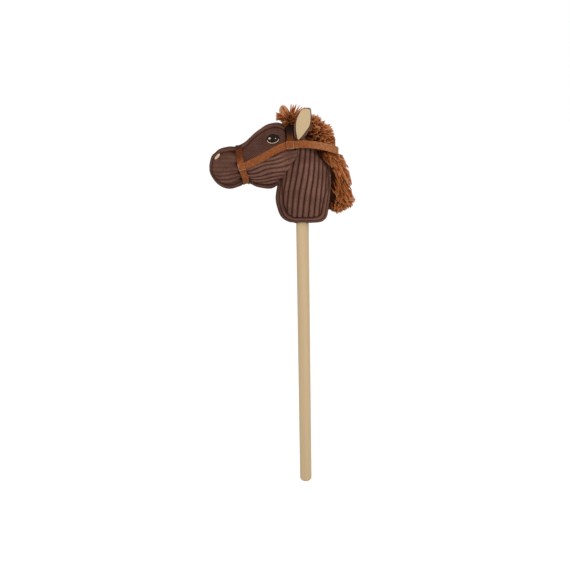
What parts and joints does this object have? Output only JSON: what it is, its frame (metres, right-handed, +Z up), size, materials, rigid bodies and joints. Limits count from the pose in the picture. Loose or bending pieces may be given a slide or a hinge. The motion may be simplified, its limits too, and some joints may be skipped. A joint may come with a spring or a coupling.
{
  "type": "hobby horse",
  "caption": "Stick toy: a stuffed corduroy horse's head with bridle, rein, lined ears and yarn mane on a round wooden stick.",
  "frame": {"origin": "middle of the flat on the stick's domed foot", "axes": "+Z up the stick, the horse looks along -X, its left side is at -Y"},
  "size_m": [0.277, 0.096, 0.791],
  "materials": {
    "corduroy": "brown jumbo corduroy with deep cords",
    "leather": "tan imitation leather, fine grain",
    "lining": "cream cotton",
    "yarn": "rust woollen yarn",
    "wood": "pale wood, satin",
    "filling": "polyester filling",
    "thread": "cream embroidery thread",
    "dark_thread": "black brown embroidery thread",
    "tape": "brown cotton tape",
    "steel": "plain steel tack",
    "nylon": "moulded white plastic"
  },
  "bodies": {
    "horse": {"stick": "wood", "stick_cap": "nylon", "neck_sleeve": "tape", "neck_tie": "nylon", "tack_1": "steel", "tack_2": "steel", "tack_3": "steel", "tack_4": "steel", "neck_stuffing": "filling", "head_stuffing": "filling", "head_panel_left": "corduroy", "head_panel_right": "corduroy", "face_gusset": "corduroy", "neck_panel_left": "corduroy", "neck_panel_right": "corduroy", "neck_gusset": "corduroy", "noseband": "leather", "noseband_keeper_left": "leather", "noseband_keeper_right": "leather", "cheek_strap_left": "leather", "cheek_strap_right": "leather", "crown_strap": "leather", "strap_tab_left": "leather", "strap_tab_right": "leather", "eye_left": "dark_thread", "eye_right": "dark_thread", "eye_line_left": "thread", "eye_line_right": "thread", "nostril_left": "thread", "nostril_right": "thread", "mane_tape": "tape", "mane_poll": "yarn", "mane_upper": "yarn", "mane_middle": "yarn", "mane_lower": "yarn", "forelock": "yarn"},
    "rein": {"rein": "leather"},
    "ear_left": {"ear_left": "corduroy", "ear_lining_left": "lining"},
    "ear_right": {"ear_right": "corduroy", "ear_lining_right": "lining"}
  },
  "joints": [
    {"name": "rein_lift", "type": "hinge", "parent": "horse", "child": "rein", "pos_m": [-0.022, 0, 0.715], "axis": [0, -1, 0], "range_deg": [0, 150]},
    {"name": "ear_left_flop", "type": "hinge", "parent": "horse", "child": "ear_left", "pos_m": [-0.006, -0.03819, 0.7245], "axis": [1, 0, 0], "range_deg": [-5, 55], "stiffness_Nm_per_rad": 0.01},
    {"name": "ear_right_flop", "type": "hinge", "parent": "horse", "child": "ear_right", "pos_m": [-0.006, 0.03819, 0.7245], "axis": [-1, 0, 0], "range_deg": [-5, 55], "stiffness_Nm_per_rad": 0.01}
  ]
}
